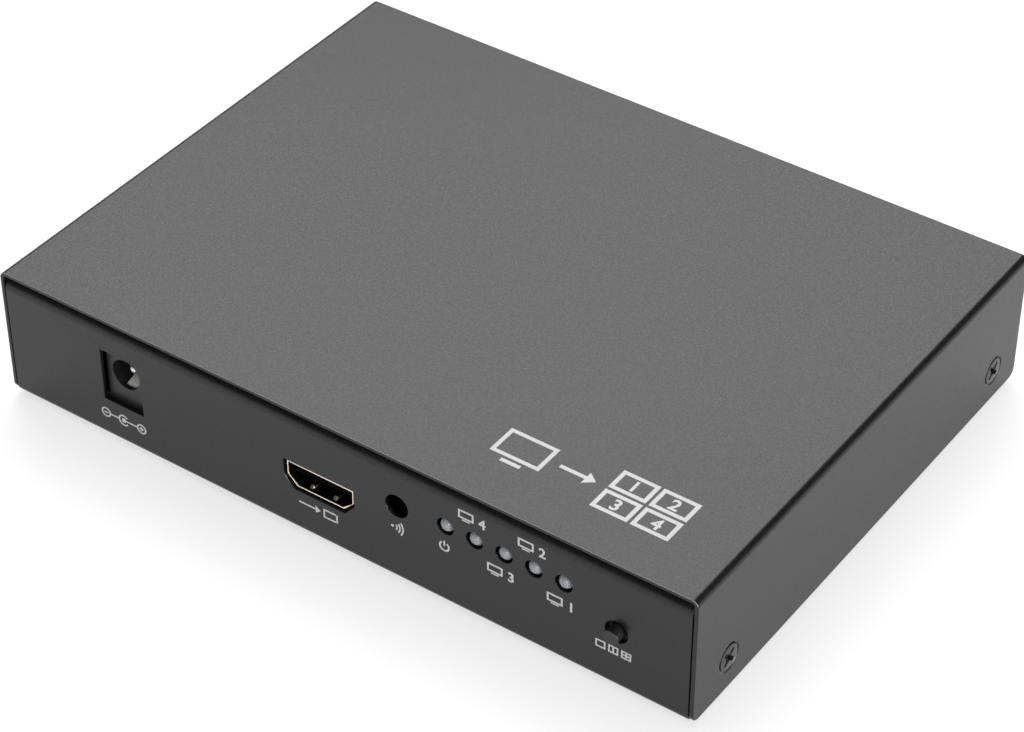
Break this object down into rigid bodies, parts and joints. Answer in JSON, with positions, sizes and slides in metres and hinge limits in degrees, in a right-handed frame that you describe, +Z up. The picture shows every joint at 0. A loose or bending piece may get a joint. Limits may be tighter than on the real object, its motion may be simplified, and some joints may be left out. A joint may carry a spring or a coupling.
{
  "type": "video wall controller",
  "caption": "Flat black steel box that splits one picture input over the screens of a video wall, with jack, sensor, lights and mode button in front.",
  "frame": {"origin": "on the plane of the feet's undersides, under the middle of the object's box", "axes": "+X to the right as the front panel is seen, +Y from the front panel to the back, +Z up"},
  "size_m": [0.15, 0.113, 0.0288],
  "materials": {
    "case_paint": "fine-textured satin black powder coat on sheet steel",
    "black_screw": "black oxide, semi-gloss",
    "black_plate": "black-finished spring steel",
    "foot_rubber": "matte black rubber",
    "plated_steel": "zinc or nickel plated steel",
    "circuit_board": "black solder mask",
    "jack_plastic": "black moulded thermoplastic",
    "bright_pin": "bright nickel plate",
    "gold_shell": "gold-toned plated shell",
    "socket_plastic": "black liquid-crystal polymer",
    "gold_contact": "gold plated copper alloy",
    "sensor_plastic": "near-black infrared-pass epoxy, glossy",
    "tinned_lead": "tinned",
    "clear_lens": "slightly milky clear epoxy",
    "button_plastic": "black moulded plastic",
    "chip_plastic": "black epoxy moulding compound",
    "thermal_pad": "soft silicone pad",
    "heatsink_alloy": "black anodised extrusion",
    "ferrite": "pressed ferrite powder",
    "capacitor_can": "bare aluminium can"
  },
  "bodies": {
    "case": {"board_screws": "plated_steel", "board_standoffs": "plated_steel", "capacitor_1": "capacitor_can", "capacitor_2": "capacitor_can", "chassis_tray": "case_paint", "controller_chip": "chip_plastic", "cover_screws": "black_screw", "crystal": "plated_steel", "dc_jack_housing": "jack_plastic", "dc_jack_pin": "bright_pin", "dc_jack_spring": "bright_pin", "dc_jack_switch_leaf": "plated_steel", "foot_back_left": "foot_rubber", "foot_back_right": "foot_rubber", "foot_front_left": "foot_rubber", "foot_front_right": "foot_rubber", "inductor_1": "ferrite", "inductor_2": "ferrite", "input_receiver": "chip_plastic", "input_socket_contacts": "gold_contact", "input_socket_shell": "gold_shell", "input_socket_tongue": "socket_plastic", "light_leads": "tinned_lead", "main_board": "circuit_board", "memory_chip_1": "chip_plastic", "memory_chip_2": "chip_plastic", "mode_switch_body": "jack_plastic", "mode_switch_dome": "plated_steel", "mode_switch_plate": "black_plate", "mode_switch_terminals": "tinned_lead", "output_1_light": "clear_lens", "output_1_socket_contacts": "gold_contact", "output_1_socket_shell": "gold_shell", "output_1_socket_tongue": "socket_plastic", "output_2_light": "clear_lens", "output_2_socket_contacts": "gold_contact", "output_2_socket_shell": "gold_shell", "output_2_socket_tongue": "socket_plastic", "output_3_light": "clear_lens", "output_3_socket_contacts": "gold_contact", "output_3_socket_shell": "gold_shell", "output_3_socket_tongue": "socket_plastic", "output_4_light": "clear_lens", "output_4_socket_contacts": "gold_contact", "output_4_socket_shell": "gold_shell", "output_4_socket_tongue": "socket_plastic", "output_driver_1": "chip_plastic", "output_driver_2": "chip_plastic", "output_driver_3": "chip_plastic", "output_driver_4": "chip_plastic", "power_light": "clear_lens", "processor_heatsink": "heatsink_alloy", "regulator_chip": "chip_plastic", "remote_receiver": "sensor_plastic", "remote_receiver_leads": "tinned_lead", "thermal_pad": "thermal_pad", "top_cover": "case_paint", "video_processor": "chip_plastic"},
    "mode_button": {"mode_plunger": "button_plastic"}
  },
  "joints": [
    {"name": "mode_press", "type": "slide", "parent": "case", "child": "mode_button", "axis": [0, 1, 0], "range_m": [0, 0.0003], "stiffness_N_per_m": 1500, "deforming": ["mode_switch_dome"]}
  ]
}
